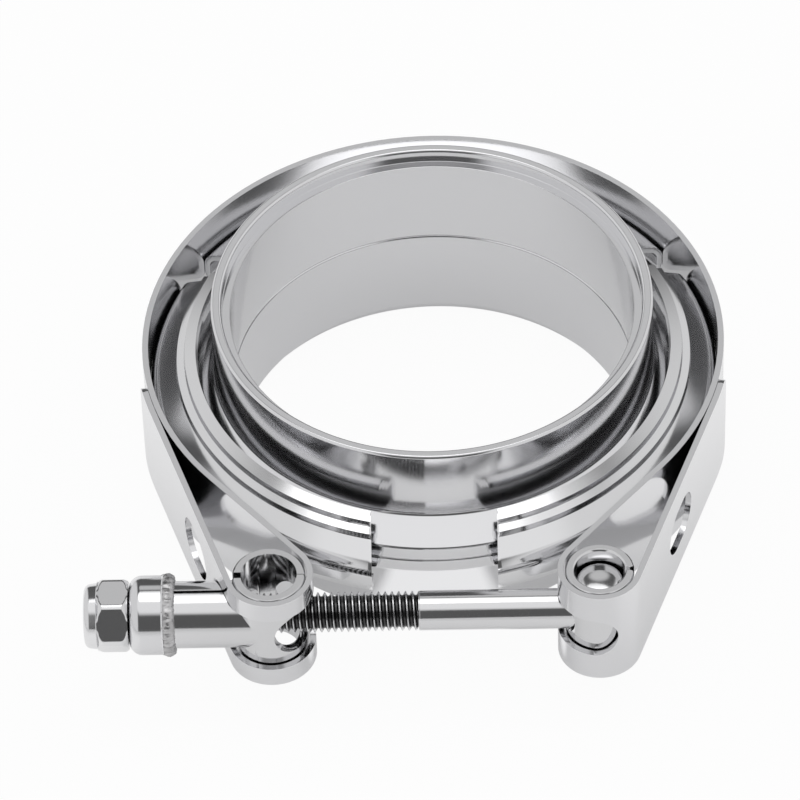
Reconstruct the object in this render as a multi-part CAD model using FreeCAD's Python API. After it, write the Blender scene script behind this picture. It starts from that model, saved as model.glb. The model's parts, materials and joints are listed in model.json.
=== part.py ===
"""V-band clamp set for a 63.5 mm exhaust tube.

Two mirrored weld flanges meet face to face, and the set stands on the lower one's neck.  Three
rolled V-section retainers ring their rims, carried by one strap whose two ends loop round a pair
of trunnions in front (-Y).  The right trunnion is a split sleeve that holds the T-bolt's
cross-bar, and the left one is a tee of two pressed shells that the bolt passes through to its
lock nut.  Every piece is drawn with the joint between the flanges at z = 0, and the finished set
is lifted so that its origin is on the tube's axis at the mouth of the lower flange.
"""
import FreeCAD, Part
import math
import os
from FreeCAD import Vector

# Flanges (millimetres throughout)
tube_od = 63.5               # tube that slides into each flange
socket_gap = 0.25            # radial gap between tube and socket
socket_depth = 2.2
stop_width = 1.3             # ledge that the tube's end stops against
neck_wall = 1.6              # flange wall round the socket
flange_height = 17.3
rim_reach = 4.8              # how far the rim stands out from the neck
rim_height = 2.55            # cylindrical edge of the rim, each side of the joint
taper_angle = 26.0           # of the rim's back, from the joint plane
neck_fillet = 0.7
face_chamfer = 0.25          # breaks the edges of the mating faces
mouth_chamfer = 0.3

# Retainers
sheet = 1.0                  # retainer sheet
retainer_slack = 0.85        # radial play between lip and taper with the bolt slack
lip_cover = 2.0              # how far the lip reaches in over the rim
lip_width = 2.1
lip_drop = 0.2               # fall of the lip over its width
flank_angle = 24.2
web_gap = 5.1                # from the rim to the outside of the web
web_bend = 1.9               # inside radius where the flanks turn into the web
lip_bend = 0.15              # inside radius at the crease between lip and flank
front_gap = 18.8             # between the two front retainers, whose ends are cut square
side_gap_angle = 9.0         # between the back retainer and each front one
retainer_pitch = 120.0       # from gap to gap, over the back retainer

# Strap
strap_thickness = 0.9
strap_width = 17.4
weld_gap = 0.05              # spot-welded faces lie this close
tail_angle = 8.0             # how far the strap's end lies along the ring
tail_corner = 2.2
leg_hole_length = 10.4
leg_hole_height = 8.0
left_hole_place = 0.43       # along the outer leg, from the trunnion's tangent point
right_hole_place = 0.53

# Trunnions
trunnion_x = 24.4
trunnion_y = -48.4
barrel_od = 10.8             # tee's barrel
sleeve_od = 10.2
trunnion_inset = 0.2         # trunnions' ends lie this far inside the strap's edges
loop_gap = 0.25              # between trunnion and strap
edge_break = 0.25            # small chamfers on trunnion ends

# T-bolt and its sleeve
bolt_diameter = 6.0
bolt_bar_diameter = 6.9
bar_inset = 1.8              # cross-bar's ends lie this far inside the sleeve's
bolt_bar_dome = 0.9
bolt_fillet = 0.8
thread_length = 49.5
thread_chamfer = 0.7
thread_relief = 0.06         # thread crests lie this far under the shank's radius
bar_gap = 0.3                # between cross-bar and sleeve
shank_gap = 0.4              # between shank and the holes round it
split_gap = 0.5              # sleeve's split at its narrowest
split_flare = 1.5            # extra width of the split at its outer and inner mouths

# Tee
tee_wall = 1.25
guide_od = 10.0
guide_reach = 19.4           # from the trunnion's axis to the guide tube's end
exit_slot_height = 7.7       # opposite the guide tube
exit_slot_start = 0.6        # from the barrel's axis
tee_seam = 0.12              # between the two shells
guide_seam = 0.5             # wider seam along the guide tube's top and bottom
notch_width = 1.1            # open notch in the barrel above and below the guide tube
window_gap = 0.3             # between the strap's left window and the guide tube
shank_window_gap = 0.7       # between the right window and the shank
shank_window_reach = 2.6     # how far the right window runs past the sleeve's axis

# End cup, nut and insert
cup_wall = 0.85
cup_gap = 0.06               # press seat on the guide tube
cup_floor = 1.6
cup_length = 6.9
cup_round = 1.9
bead_width = 1.9
bead_height = 0.3
nut_seat_gap = 0.05
nut_flats = 10.0
hex_thickness = 4.6
collar_length = 2.0
collar_diameter = 9.6
collar_round = 0.9
nut_chamfer_angle = 36.0
insert_length = 1.7
insert_wall = 0.7
nut_thread_gap = 0.07        # between bolt and nut, and between bolt and insert
bolt_end_inset = 0.3         # bolt's end lies this far inside the nut's collar

# Dependent sizes
socket_radius = tube_od / 2 + socket_gap
bore_radius = socket_radius - stop_width
neck_radius = socket_radius + neck_wall
rim_radius = neck_radius + rim_reach
taper_slope = math.tan(math.radians(taper_angle))
lip_radius = rim_radius - lip_cover
web_radius = rim_radius + web_gap
ring_radius = web_radius + weld_gap + strap_thickness / 2
right_gap_angle = 90 - retainer_pitch / 2  # azimuth of the gap beside the back retainer
barrel_radius = barrel_od / 2
sleeve_radius = sleeve_od / 2
trunnion_height = strap_width - 2 * trunnion_inset
bolt_bar_height = trunnion_height - 2 * bar_inset
tail_radius = ring_radius + strap_thickness + weld_gap
bolt_radius = bolt_diameter / 2
guide_radius = guide_od / 2
barrel_bore = barrel_radius - tee_wall
guide_bore = guide_radius - tee_wall
sleeve_bore = bolt_bar_diameter / 2 + bar_gap
cup_bore = guide_radius + cup_gap
cup_radius = cup_bore + cup_wall
guide_end = -trunnion_x - guide_reach
cup_end = guide_end - cup_floor
nut_face = cup_end - nut_seat_gap
nut_end = nut_face - hex_thickness - collar_length
bolt_end = nut_end + bolt_end_inset
UP = Vector(0, 0, 1)
ORIGIN = Vector(0, 0, 0)


def taper_height(radius):
    """Height of the rim's tapered back at a radius, above the joint plane."""
    return rim_height + (rim_radius - radius) * taper_slope


def line(start, end):
    return ("line", start, end)


def arc(centre, radius, start, end):
    """Arc from one angle to another in radians; it runs clockwise where end is less than start."""
    return ("arc", centre, radius, start, end)


def on_circle(centre, radius, angle):
    return (centre[0] + radius * math.cos(angle), centre[1] + radius * math.sin(angle))


def shifted(piece, distance):
    """A line or arc moved sideways, to the left of its travel where distance is positive."""
    if piece[0] == "line":
        (x0, y0), (x1, y1) = piece[1:]
        length = math.hypot(x1 - x0, y1 - y0)
        dx = -(y1 - y0) / length * distance
        dy = (x1 - x0) / length * distance
        return line((x0 + dx, y0 + dy), (x1 + dx, y1 + dy))
    _, centre, radius, start, end = piece
    inward = distance if end > start else -distance
    return arc(centre, radius - inward, start, end)


def ends(piece):
    if piece[0] == "line":
        return piece[1], piece[2]
    _, centre, radius, start, end = piece
    return on_circle(centre, radius, start), on_circle(centre, radius, end)


def edge(piece, place):
    """A Part edge of a line or arc, with place turning its plane coordinates into a Vector."""
    start, end = ends(piece)
    if piece[0] == "line":
        return Part.makeLine(place(*start), place(*end))
    _, centre, radius, first, last = piece
    middle = on_circle(centre, radius, (first + last) / 2)
    return Part.Arc(place(*start), place(*middle), place(*end)).toShape()


def sheet_face(path, left, right, place):
    """The flat section of a sheet that follows a path, reaching left and right of it."""
    one_side = [shifted(piece, left) for piece in path]
    other_side = [shifted(piece, -right) for piece in path]
    edges = [edge(piece, place) for piece in one_side]
    edges.append(Part.makeLine(place(*ends(one_side[-1])[1]), place(*ends(other_side[-1])[1])))
    edges.extend(edge(piece, place) for piece in reversed(other_side))
    edges.append(Part.makeLine(place(*ends(other_side[0])[0]), place(*ends(one_side[0])[0])))
    return Part.Face(Part.Wire(Part.__sortEdges__(edges)))


def rounded_path(points, radii):
    """Straight runs between points, with an arc of the given radius at each inner point."""
    path = []
    here = points[0]
    for before, corner, after, radius in zip(points, points[1:], points[2:], radii):
        heading_in = math.atan2(corner[1] - before[1], corner[0] - before[0])
        heading_out = math.atan2(after[1] - corner[1], after[0] - corner[0])
        turn = (heading_out - heading_in + math.pi) % (2 * math.pi) - math.pi
        trim = radius * math.tan(abs(turn) / 2)
        touch = (corner[0] - trim * math.cos(heading_in), corner[1] - trim * math.sin(heading_in))
        side = math.copysign(math.pi / 2, turn)
        centre = on_circle(touch, radius, heading_in + side)
        path.append(line(here, touch))
        path.append(arc(centre, radius, heading_in - side, heading_in - side + turn))
        here = ends(path[-1])[1]
    path.append(line(here, points[-1]))
    return path


def section(radius, height):
    """Plane coordinates of a turned profile."""
    return Vector(radius, 0, height)


def plan(x, y):
    return Vector(x, y, 0)


def turned(points):
    """A solid of revolution about Z from the corners of its half section."""
    corners = [section(*point) for point in points]
    face = Part.Face(Part.makePolygon(corners + corners[:1]))
    return face.revolve(ORIGIN, UP, 360)


def edges_where(shape, test):
    return [one for one in shape.Edges if test(one)]


def ring_edges(shape, radius, height):
    """Circular edges about Z with a radius and height."""
    def matches(one):
        box = one.BoundBox
        flat = abs(box.ZMin - height) < 1e-3 and abs(box.ZMax - height) < 1e-3
        return flat and abs(box.XMax - radius) < 1e-2
    return edges_where(shape, matches)


def mirrored_z(shape):
    return shape.mirror(ORIGIN, UP)


def mirrored_x(shape):
    return shape.mirror(ORIGIN, Vector(1, 0, 0))


def cylinder(radius, start, end, axis):
    """A cylinder between two places along an axis through the origin of the other two."""
    return Part.makeCylinder(radius, end - start, axis * start, axis)


def flange():
    """Upper weld flange: socket, stop ledge, neck, tapered rim."""
    top = flange_height
    outline = [
        (bore_radius, face_chamfer),
        (bore_radius, top - socket_depth),
        (socket_radius, top - socket_depth),
        (socket_radius, top - mouth_chamfer),
        (socket_radius + mouth_chamfer, top),
        (neck_radius - mouth_chamfer, top),
        (neck_radius, top - mouth_chamfer),
        (neck_radius, taper_height(neck_radius)),
        (rim_radius, rim_height),
        (rim_radius, face_chamfer),
        (rim_radius - face_chamfer, 0),
        (bore_radius + face_chamfer, 0),
    ]
    body = turned(outline)
    return body.makeFillet(neck_fillet, ring_edges(body, neck_radius, taper_height(neck_radius)))


def retainer(start_angle, end_angle):
    """One rolled retainer between two azimuths in degrees: lip, flank, web, flank, lip."""
    lip_height = taper_height(lip_radius - retainer_slack) + sheet
    crease = (lip_radius + lip_width, lip_height - lip_drop)
    flank_fall = (web_radius - crease[0]) * math.tan(math.radians(flank_angle))
    shoulder = (web_radius, crease[1] - flank_fall)
    upper = [(lip_radius, lip_height), crease, shoulder]
    lower = [(radius, -height) for radius, height in reversed(upper)]
    radii = [bend + sheet for bend in (lip_bend, web_bend, web_bend, lip_bend)]
    profile = sheet_face(rounded_path(upper + lower, radii), 0, sheet, section)
    profile.rotate(ORIGIN, UP, start_angle)
    return profile.revolve(ORIGIN, UP, end_angle - start_angle)


def front_retainer():
    """Right front retainer: its front end is cut square, its side end along a radius."""
    half = front_gap / 2
    whole = retainer(-90, right_gap_angle - side_gap_angle / 2)
    waste = Part.makeBox(half, web_radius, 2 * web_radius, Vector(0, -web_radius, -web_radius))
    return whole.cut(waste)


def loop_radius(held_radius):
    """Radius of the strap's middle round a trunnion."""
    return held_radius + loop_gap + strap_thickness / 2


def strap_half(held_radius, hole_place):
    """Left half of the strap, from the back of the ring to its tail, with its leg's hole."""
    centre = (-trunnion_x, trunnion_y)
    loop = loop_radius(held_radius)
    reach = math.hypot(*centre)
    bearing = math.atan2(*reversed(centre)) + 2 * math.pi
    cross = bearing - math.acos((ring_radius + loop) / reach)
    outer = bearing - math.acos((tail_radius - loop) / reach)
    path = [
        arc((0, 0), ring_radius, math.pi / 2, cross),
        line(on_circle((0, 0), ring_radius, cross), on_circle(centre, -loop, cross)),
        arc(centre, loop, cross - math.pi, outer - 2 * math.pi),
        line(on_circle(centre, loop, outer), on_circle((0, 0), tail_radius, outer)),
        arc((0, 0), tail_radius, outer, outer - math.radians(tail_angle)),
    ]
    face = sheet_face(path, strap_thickness / 2, strap_thickness / 2, plan)
    face.translate(UP * (-strap_width / 2))
    band = face.extrude(UP * strap_width)
    tail = on_circle((0, 0), tail_radius, outer - math.radians(tail_angle))

    def tail_edge(one):
        middle = one.BoundBox.Center
        beside = math.hypot(middle.x - tail[0], middle.y - tail[1]) < strap_thickness / 4
        return beside and abs(abs(middle.z) - strap_width / 2) < 1e-3
    band = band.makeFillet(tail_corner, edges_where(band, tail_edge))
    return band.cut(leg_hole(path[3], outer, hole_place))


def leg_hole(leg, facing, place):
    """Cutter for the rounded hole in an outer leg, which faces away from the ring's axis."""
    (x0, y0), (x1, y1) = leg[1:]
    middle = (x0 + (x1 - x0) * place, y0 + (y1 - y0) * place)
    radius = leg_hole_height / 2
    straight = leg_hole_length - leg_hole_height
    depth = 3 * strap_thickness
    outline = rounded_slot(straight, radius)
    cutter = outline.extrude(UP * depth)
    cutter.translate(UP * (-depth / 2))
    cutter.rotate(ORIGIN, Vector(0, 1, 0), 90)
    cutter.rotate(ORIGIN, UP, math.degrees(facing))
    cutter.translate(plan(*middle))
    return cutter


def rounded_slot(straight, radius):
    """Flat slot along Y with round ends, centred on the origin."""
    half = straight / 2
    path = [
        line((radius, -half), (radius, half)),
        arc((0, half), radius, 0, math.pi),
        line((-radius, half), (-radius, -half)),
        arc((0, -half), radius, math.pi, 2 * math.pi),
    ]
    return Part.Face(Part.Wire([edge(piece, plan) for piece in path]))


def slot(radius, x_round, x_open, y_start, y_end):
    """Cutter along Y for a slot about the X axis, with a round end at x_round."""
    middle = x_round + math.copysign(radius, x_open - x_round)
    depth = y_end - y_start
    corner = Vector(min(middle, x_open), y_start, -radius)
    straight = Part.makeBox(abs(x_open - middle), depth, 2 * radius, corner)
    end = Part.makeCylinder(radius, depth, Vector(middle, y_start, 0), Vector(0, 1, 0))
    return straight.fuse(end)


def tee_window():
    """Cutter for the left window, which runs round the loop's front on both sides."""
    outside = loop_radius(barrel_radius) + strap_thickness
    radius = guide_radius + window_gap
    start = -trunnion_x - 2 * outside
    end = -trunnion_x + outside
    round_back = bolt_line(cylinder(radius, start, end, Vector(1, 0, 0)))
    corner = Vector(start, trunnion_y - outside, -radius)
    return round_back.fuse(Part.makeBox(end - start, outside, 2 * radius, corner))


def shank_window():
    """Cutter for the right window, from the shank's side of the loop to past its front."""
    outside = loop_radius(sleeve_radius) + strap_thickness
    radius = bolt_radius + shank_window_gap
    start = trunnion_x - outside
    round_back = cylinder(radius, start, trunnion_x, Vector(1, 0, 0))
    front = slot(radius, trunnion_x + shank_window_reach, start, -outside, 0)
    return bolt_line(round_back.fuse(front))


def strap():
    left = strap_half(barrel_radius, left_hole_place)
    right = mirrored_x(strap_half(sleeve_radius, right_hole_place))
    band = left.fuse(right).removeSplitter()
    return band.cut(tee_window()).cut(shank_window())


def bolt_line(shape):
    """Moves a shape from the X axis to the bolt's axis."""
    shape.translate(Vector(0, trunnion_y, 0))
    return shape


def chamfered(shape, size, test):
    return shape.makeChamfer(size, edges_where(shape, test))


def t_bolt():
    bar_radius = bolt_bar_diameter / 2
    half = bolt_bar_height / 2
    shoulder = half - bolt_bar_dome
    outline = [
        line((0, -half), (bar_radius / 2, -half)),
        line((bar_radius / 2, -half), (bar_radius, -shoulder)),
        line((bar_radius, -shoulder), (bar_radius, shoulder)),
        line((bar_radius, shoulder), (bar_radius / 2, half)),
        line((bar_radius / 2, half), (0, half)),
        line((0, half), (0, -half)),
    ]
    face = Part.Face(Part.Wire([edge(piece, section) for piece in outline]))
    bar = face.revolve(ORIGIN, UP, 360)
    bar.translate(Vector(trunnion_x, 0, 0))
    thread_end = bolt_end + thread_length
    shank = cylinder(bolt_radius, thread_end, trunnion_x, Vector(1, 0, 0))
    thread = cylinder(bolt_radius - thread_relief, bolt_end, thread_end, Vector(1, 0, 0))

    def point(one):
        return abs(one.BoundBox.XMin - bolt_end) < 1e-3 and one.BoundBox.XLength < 1e-3
    thread = chamfered(thread, thread_chamfer, point)
    body = shank.fuse(bar).fuse(thread)

    def root(one):
        box = one.BoundBox
        crosses = box.XMin > trunnion_x - bar_radius - 1e-3 and box.XMax < trunnion_x
        return crosses and abs(box.ZMax - bolt_radius) < 1e-2 and box.ZMin < 0
    body = body.makeFillet(bolt_fillet, edges_where(body, root))
    return bolt_line(body)


def ring_tube(outer, inner, height):
    """Upright tube about Z with its end edges broken."""
    half = height / 2
    body = cylinder(outer, -half, half, UP).cut(cylinder(inner, -half, half, UP))

    def rim(one):
        return one.BoundBox.ZLength < 1e-3
    return chamfered(body, edge_break, rim)


def bolt_sleeve():
    """Split sleeve round the T-bolt's cross-bar, with the shank's hole opposite the split."""
    body = ring_tube(sleeve_radius, sleeve_bore, trunnion_height)
    narrow = split_gap / 2
    wide = narrow + split_flare / 2
    middle = (sleeve_radius + sleeve_bore) / 2
    reach = middle - sleeve_bore + 1
    corners = [
        plan(middle - reach, -wide), plan(middle, -narrow), plan(middle + reach, -wide),
        plan(middle + reach, wide), plan(middle, narrow), plan(middle - reach, wide),
    ]
    split = Part.Face(Part.makePolygon(corners + corners[:1])).extrude(UP * trunnion_height)
    split.translate(UP * (-trunnion_height / 2))
    hole = cylinder(bolt_radius + shank_gap, -sleeve_od, 0, Vector(1, 0, 0))
    body = body.cut(split).cut(hole)
    body.translate(Vector(trunnion_x, trunnion_y, 0))
    return body


def tee():
    """Whole tee about its own barrel axis: barrel, guide tube along -X, exit slot at +X."""
    half = trunnion_height / 2
    along = Vector(1, 0, 0)
    outside = cylinder(barrel_radius, -half, half, UP)
    outside = outside.fuse(cylinder(guide_radius, -guide_reach, 0, along)).removeSplitter()

    def rim(one):
        return one.BoundBox.ZLength < 1e-3 and one.BoundBox.XLength > barrel_radius
    outside = chamfered(outside, edge_break, rim)
    hollow = cylinder(barrel_bore, -half, half, UP)
    hollow = hollow.fuse(cylinder(guide_bore, -guide_reach, 0, along))
    exit_slot = slot(exit_slot_height / 2, exit_slot_start, barrel_od, -barrel_od, barrel_od)
    return outside.cut(hollow).cut(exit_slot)


def tee_shells():
    """Front and rear shells of the tee, parted along the plane through barrel and tube."""
    whole = tee()
    half = trunnion_height / 2
    size = guide_reach + barrel_od
    seam = Part.makeBox(size, tee_seam, trunnion_height,
                        Vector(-guide_reach, -tee_seam / 2, -half))
    guide = Part.makeBox(guide_reach - barrel_radius, guide_seam, guide_od,
                         Vector(-guide_reach, -guide_seam / 2, -guide_radius))
    notch = Part.makeBox(barrel_radius, notch_width, trunnion_height,
                         Vector(-barrel_radius, -notch_width / 2, -half))
    whole = whole.cut(seam).cut(guide).cut(notch)
    shells = []
    for low in (-size, 0):
        keep = Part.makeBox(2 * size, size, 2 * size, Vector(-size, low, -size))
        shell = whole.common(keep)
        shell.translate(Vector(-trunnion_x, trunnion_y, 0))
        shells.append(shell)
    return shells


def end_cup():
    """Cup pressed over the guide tube's end, with a bead of weld round its open edge."""
    mouth = cup_end + cup_length
    inner_floor = guide_end - cup_gap
    bead_start = mouth - bead_width
    bead_radius = cup_radius + bead_height
    rounding = bead_height
    path = [
        (bolt_radius + shank_gap, cup_end),
        (cup_radius, cup_end),
        (cup_radius, bead_start),
        (bead_radius, bead_start + rounding),
        (bead_radius, mouth - rounding),
        (cup_radius, mouth),
        (cup_bore, mouth),
        (cup_bore, inner_floor),
        (bolt_radius + shank_gap, inner_floor),
    ]
    body = turned(path)
    body = body.makeFillet(cup_round, ring_edges(body, cup_radius, cup_end))
    body.rotate(ORIGIN, Vector(0, 1, 0), 90)
    return bolt_line(body)


def lock_nut():
    """Hexagon nut with a domed collar at its outer end, recessed for the insert."""
    corner_radius = nut_flats / 2 / math.cos(math.pi / 6)
    corners = [plan(*on_circle((0, 0), corner_radius, math.radians(60 * step + 30)))
               for step in range(6)]
    prism = Part.Face(Part.makePolygon(corners + corners[:1])).extrude(UP * hex_thickness)
    chamfer = (corner_radius - nut_flats / 2) * math.tan(math.radians(nut_chamfer_angle))
    cone = turned([(0, 0), (nut_flats / 2, 0), (corner_radius, chamfer),
                   (corner_radius, hex_thickness - chamfer), (nut_flats / 2, hex_thickness),
                   (0, hex_thickness)])
    collar = cylinder(collar_diameter / 2, -collar_length, collar_round, UP)
    collar = collar.makeFillet(collar_round, ring_edges(collar, collar_diameter / 2,
                                                        -collar_length))
    body = prism.common(cone).fuse(collar)
    bore = cylinder(bolt_radius + nut_thread_gap, -collar_length, hex_thickness, UP)
    recess = cylinder(bolt_radius + nut_thread_gap + insert_wall, -collar_length,
                      insert_length - collar_length, UP)
    body = body.cut(bore).cut(recess)
    body.translate(UP * (nut_face - hex_thickness))
    body.rotate(ORIGIN, Vector(0, 1, 0), 90)
    return bolt_line(body)


def nut_insert():
    inner = bolt_radius + nut_thread_gap
    body = cylinder(inner + insert_wall, nut_end, nut_end + insert_length, Vector(1, 0, 0))
    body = body.cut(cylinder(inner, nut_end, nut_end + insert_length, Vector(1, 0, 0)))
    return bolt_line(body)


def build():
    upper = flange()
    back_start = right_gap_angle + side_gap_angle / 2
    right = front_retainer()
    front_shell, rear_shell = tee_shells()
    return {
        "upper_flange": upper,
        "lower_flange": mirrored_z(upper),
        "v_retainer_back": retainer(back_start, 180 - back_start),
        "v_retainer_left": mirrored_x(right),
        "v_retainer_right": right,
        "band_strap": strap(),
        "t_bolt": t_bolt(),
        "bolt_sleeve": bolt_sleeve(),
        "tee_front_shell": front_shell,
        "tee_rear_shell": rear_shell,
        "end_cup": end_cup(),
        "lock_nut": lock_nut(),
        "nut_insert": nut_insert(),
    }


os.makedirs("parts", exist_ok=True)
for name, shape in build().items():
    shape.translate(UP * flange_height)
    shape.exportStep("parts/" + name + ".step")
    solids = len(shape.Solids)
    print(f"{name}: {solids} solid(s), {shape.Volume:.1f} mm3, valid {shape.isValid()}")
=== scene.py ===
"""Dresses the V-band clamp set: polished stainless pieces round the CAD frame, in a white studio."""

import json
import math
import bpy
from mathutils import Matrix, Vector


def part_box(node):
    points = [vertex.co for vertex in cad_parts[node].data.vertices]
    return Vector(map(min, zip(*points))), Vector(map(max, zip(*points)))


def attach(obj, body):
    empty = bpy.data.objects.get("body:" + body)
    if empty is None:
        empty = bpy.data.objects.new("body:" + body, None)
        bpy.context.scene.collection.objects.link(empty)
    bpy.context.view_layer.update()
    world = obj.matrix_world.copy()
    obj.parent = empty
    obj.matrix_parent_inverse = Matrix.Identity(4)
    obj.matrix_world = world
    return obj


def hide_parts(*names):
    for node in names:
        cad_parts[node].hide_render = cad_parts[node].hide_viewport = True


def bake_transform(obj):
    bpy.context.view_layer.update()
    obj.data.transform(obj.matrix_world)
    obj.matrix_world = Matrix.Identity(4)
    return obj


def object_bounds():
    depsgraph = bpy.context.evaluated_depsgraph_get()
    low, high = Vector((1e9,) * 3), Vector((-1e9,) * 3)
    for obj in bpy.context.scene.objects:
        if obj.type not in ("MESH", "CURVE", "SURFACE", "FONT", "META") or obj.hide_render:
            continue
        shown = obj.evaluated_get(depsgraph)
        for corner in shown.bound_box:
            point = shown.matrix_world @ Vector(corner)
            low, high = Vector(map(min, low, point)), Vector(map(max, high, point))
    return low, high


bl_info = {
    "name": "V-band clamp set",
    "version": (1, 0, 0),
    "blender": (4, 5, 0),
    "location": "View3D > Sidebar > Clamp",
    "description": "Builds and finishes the pieces of a V-band clamp with its weld flanges",
    "category": "Object",
}

import bmesh
import bpy
from bpy.props import (
    FloatProperty,
    FloatVectorProperty,
    IntProperty,
    PointerProperty,
)
from mathutils import Matrix, Vector, noise

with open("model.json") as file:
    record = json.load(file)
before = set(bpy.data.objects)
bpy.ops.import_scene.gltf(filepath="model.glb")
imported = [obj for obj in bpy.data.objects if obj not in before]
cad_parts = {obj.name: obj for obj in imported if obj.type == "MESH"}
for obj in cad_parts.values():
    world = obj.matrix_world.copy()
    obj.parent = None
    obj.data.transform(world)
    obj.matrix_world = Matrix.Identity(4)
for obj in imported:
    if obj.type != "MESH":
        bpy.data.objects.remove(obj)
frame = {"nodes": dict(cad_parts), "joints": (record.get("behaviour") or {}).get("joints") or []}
CAD_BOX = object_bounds()

MM = 0.001
UP = Vector((0, 0, 1))
ALONG = Vector((1, 0, 0))
CENTRE_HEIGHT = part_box("upper_flange")[0].z
JOINTS = {joint["name"]: joint for joint in frame["joints"]}
BOLT_Y = JOINTS["nut_turn"]["pos_m"][1]
BOLT_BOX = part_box("t_bolt")
CUP_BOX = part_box("end_cup")
WEB_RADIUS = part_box("v_retainer_back")[1].y
RIM_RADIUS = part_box("upper_flange")[1].y
SLEEVE_X = JOINTS["bolt_swing"]["pos_m"][0]
BOLT_LINE = Vector((0, BOLT_Y, CENTRE_HEIGHT))

FULL_TURN = 2 * math.pi
SAME_PLACE = 1e-7            # points closer than this are one
FLANGE_STEPS = 256           # faces round a flange
RETAINER_STEP = math.radians(1.5)
HALF_BEND = math.radians(4.0)  # half of the strap's free stretch at a side gap
THREAD_STEPS = 40            # faces round one turn of the thread
BAR_STUB = 0.3 * MM          # how far a dome's own stub reaches back into the cross-bar
SHANK_LAP = 0.2 * MM         # how far the shank reaches back into the thread
CUP_CUT = 1.7 * MM           # last stretch of the cup, which the bead stands for
BEAD_INSET = 0.05 * MM       # from the bead to the end of the guide cup
FAR_GLOW = 0.1               # share of its glow that the far floor keeps
UNDER_RING = (5 * MM, 11 * MM)  # either side of the floor's bright ring: full, then gone
GAP_WIDTH = (9 * MM, 14 * MM)   # the ring's half width below the front gap: full, then gone


class ClampSizes(bpy.types.PropertyGroup):
    """Sizes of the fine forms that are added to the plain solids"""

    thread_pitch: FloatProperty(
        name="Thread pitch", description="Distance between the bolt's thread crests",
        default=1.0 * MM, unit="LENGTH", subtype="DISTANCE")
    thread_depth: FloatProperty(
        name="Thread depth", description="From crest to root of the bolt's thread",
        default=0.58 * MM, unit="LENGTH", subtype="DISTANCE")
    thread_crest: FloatProperty(
        name="Thread crest", description="Radius of the bolt's thread at its crests",
        default=2.96 * MM, unit="LENGTH", subtype="DISTANCE")
    thread_length: FloatProperty(
        name="Thread length", description="Threaded length from the bolt's end",
        default=49.5 * MM, unit="LENGTH", subtype="DISTANCE")
    bolt_chamfer: FloatProperty(
        name="Bolt chamfer", description="Length of the chamfer at the bolt's threaded end",
        default=0.7 * MM, unit="LENGTH", subtype="DISTANCE")
    bar_dome: FloatProperty(
        name="Bar dome", description="Height of the domed ends of the bolt's cross-bar",
        default=1.0 * MM, unit="LENGTH", subtype="DISTANCE")
    edge_round: FloatProperty(
        name="Edge round", description="Rounding of the tumbled edges of pressed pieces",
        default=0.12 * MM, unit="LENGTH", subtype="DISTANCE")
    turned_round: FloatProperty(
        name="Turned edge round", description="Rounding of the flanges' turned edges",
        default=0.10 * MM, unit="LENGTH", subtype="DISTANCE")
    rim_round: FloatProperty(
        name="Rim round", description="Rounding where a flange's taper meets its rim",
        default=0.30 * MM, unit="LENGTH", subtype="DISTANCE")
    sheet: FloatProperty(
        name="Retainer sheet", description="Thickness of the retainers' sheet",
        default=1.0 * MM, unit="LENGTH", subtype="DISTANCE")
    web_bend: FloatProperty(
        name="Web bend", description="Outside radius where a retainer's flanks meet its web",
        default=2.9 * MM, unit="LENGTH", subtype="DISTANCE")
    bead_half: FloatProperty(
        name="Bead half width", description="Half width of the weld bead along the cup",
        default=1.05 * MM, unit="LENGTH", subtype="DISTANCE")
    bead_grain: FloatProperty(
        name="Bead grain", description="Height of the uneven drops along the weld bead",
        default=0.22 * MM, unit="LENGTH", subtype="DISTANCE")
    nut_round: FloatProperty(
        name="Nut corner round", description="Radius of the hexagon's corners",
        default=1.1 * MM, unit="LENGTH", subtype="DISTANCE")
    nut_bore: FloatProperty(
        name="Nut bore", description="Radius of the hole through the nut",
        default=3.1 * MM, unit="LENGTH", subtype="DISTANCE")
    collar_length: FloatProperty(
        name="Collar length", description="Length of the nut's round collar",
        default=2.0 * MM, unit="LENGTH", subtype="DISTANCE")
    collar_radius: FloatProperty(
        name="Collar radius", description="Outside radius of the nut's round collar",
        default=4.8 * MM, unit="LENGTH", subtype="DISTANCE")
    collar_round: FloatProperty(
        name="Collar round", description="Rounding of the collar's outer end",
        default=0.95 * MM, unit="LENGTH", subtype="DISTANCE")
    collar_mouth: FloatProperty(
        name="Collar mouth", description="Radius inside the collar's rolled lip",
        default=3.9 * MM, unit="LENGTH", subtype="DISTANCE")
    bead_ripple: FloatProperty(
        name="Bead ripple", description="Height of the ripples along the weld bead",
        default=0.16 * MM, unit="LENGTH", subtype="DISTANCE")
    bead_ripples: IntProperty(
        name="Bead ripples", description="How many ripples go round the weld bead",
        default=22)


class ClampFinish(bpy.types.PropertyGroup):
    """Colours and gloss of the metals"""

    flange: FloatVectorProperty(
        name="Flange steel", description="Colour of the turned and polished flanges",
        default=(0.76, 0.755, 0.765), subtype="COLOR", min=0, max=1)
    sheet: FloatVectorProperty(
        name="Sheet steel", description="Colour of the retainers and the strap",
        default=(0.74, 0.735, 0.74), subtype="COLOR", min=0, max=1)
    pressed: FloatVectorProperty(
        name="Trunnion steel", description="Colour of the tee, the sleeve and the cup",
        default=(0.70, 0.695, 0.70), subtype="COLOR", min=0, max=1)
    bolt: FloatVectorProperty(
        name="Bolt steel", description="Colour of the bolt and the nut",
        default=(0.72, 0.72, 0.73), subtype="COLOR", min=0, max=1)
    nylon: FloatVectorProperty(
        name="Nylon", description="Colour of the lock nut's insert",
        default=(0.80, 0.80, 0.77), subtype="COLOR", min=0, max=1)


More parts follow.
